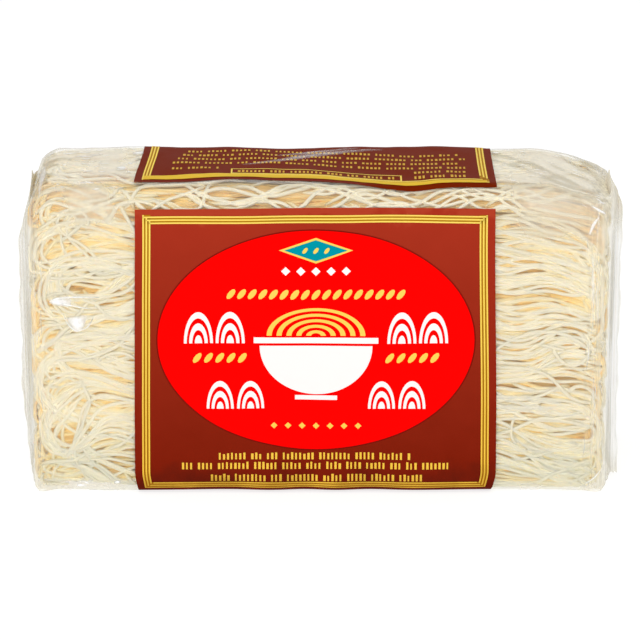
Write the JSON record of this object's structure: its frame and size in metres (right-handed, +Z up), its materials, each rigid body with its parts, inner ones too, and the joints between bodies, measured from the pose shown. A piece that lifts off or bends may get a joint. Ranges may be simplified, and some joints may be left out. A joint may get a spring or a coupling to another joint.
{
  "type": "wrapped block of dried rice vermicelli",
  "caption": "Oblong block of fine dried rice noodles in clear gusseted film with printed panels, standing on its long narrow side.",
  "frame": {"origin": "middle of the base, on the surface that the pack stands on", "axes": "+X along the pack's length, to the right seen from the front; -Y out of the printed front; +Z up"},
  "size_m": [0.261, 0.074, 0.1365],
  "materials": {
    "noodles": "dry, smooth, slightly translucent noodles",
    "film": "thin glossy clear film with small wrinkles",
    "print": "opaque print under glossy film"
  },
  "bodies": {
    "root": {"vermicelli_pack": "noodles"}
  },
  "joints": []
}
